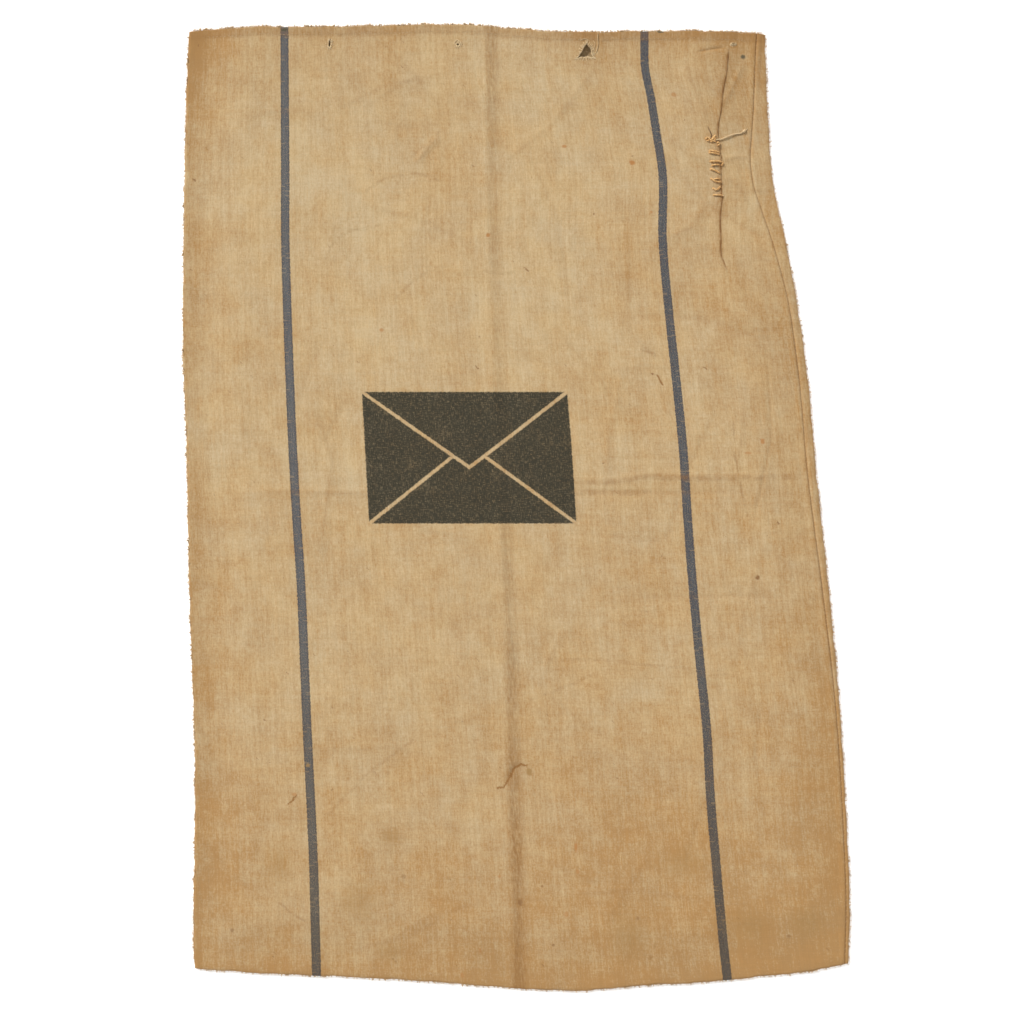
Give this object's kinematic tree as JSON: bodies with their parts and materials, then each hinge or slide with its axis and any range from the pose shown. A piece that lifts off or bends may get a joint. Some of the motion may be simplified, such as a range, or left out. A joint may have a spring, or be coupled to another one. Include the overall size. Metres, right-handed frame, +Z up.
{
  "type": "mail sack",
  "caption": "Flat coarse-linen mail sack with two woven stripes, an open mouth with whipped eyelets, sewn sides and a darned tuck; its mouth opens and it folds across.",
  "frame": {"origin": "the middle of the sack's outline on the surface it lies on", "axes": "+Y towards the mouth, +Z up out of the front, +X to the right seen from the front with the mouth at the top"},
  "size_m": [0.6906, 1, 0.0122],
  "materials": {
    "linen": "coarse plain weave of unbleached linen, worn soft and dull, stained towards the bottom, with one slate-blue warp stripe near each side",
    "linen_inside": "the same coarse linen, inside of the sack, cleaner and duller",
    "sewing_thread": "matt linen thread",
    "eyelet_thread": "pale linen thread, whipped",
    "repair_string": "thick two-ply string, orange tan",
    "tail_string": "thinner pale string"
  },
  "bodies": {
    "lower_half": {"front_lower": "linen", "back_lower": "linen", "bottom_fold": "linen", "left_edge_turn_lower": "linen", "right_edge_turn_lower": "linen", "left_seam_allowance_lower": "linen_inside", "right_seam_allowance_lower": "linen_inside", "left_seam_thread_lower": "sewing_thread", "right_seam_thread_lower": "sewing_thread"},
    "upper_half": {"front_crease_strip": "linen", "back_upper": "linen", "left_edge_turn_upper": "linen", "right_edge_turn_upper": "linen", "left_seam_allowance_upper": "linen_inside", "right_seam_allowance_upper": "linen_inside", "left_seam_thread_upper": "sewing_thread", "right_seam_thread_upper": "sewing_thread", "back_mouth_hem": "linen_inside", "back_hem_thread": "sewing_thread", "back_eyelet_1": "eyelet_thread", "back_eyelet_2": "eyelet_thread", "back_eyelet_3": "eyelet_thread", "back_eyelet_4": "eyelet_thread"},
    "front_lip": {"front_upper": "linen", "front_mouth_hem": "linen_inside", "front_hem_thread": "sewing_thread", "front_eyelet_1": "eyelet_thread", "front_eyelet_2": "eyelet_thread", "front_eyelet_3": "eyelet_thread", "front_eyelet_4": "eyelet_thread", "repair_stitches": "repair_string", "repair_knot": "repair_string", "repair_tail": "tail_string", "repair_tail_knot": "tail_string"}
  },
  "joints": [
    {"name": "storage_fold", "type": "hinge", "parent": "lower_half", "child": "upper_half", "pos_m": [0, 0.018, 0.0094], "axis": [-1, 0, 0], "range_deg": [-171, 0]},
    {"name": "mouth_opening", "type": "hinge", "parent": "upper_half", "child": "front_lip", "pos_m": [0, 0.042, 0.00795], "axis": [1, 0, 0], "range_deg": [0, 9]}
  ]
}
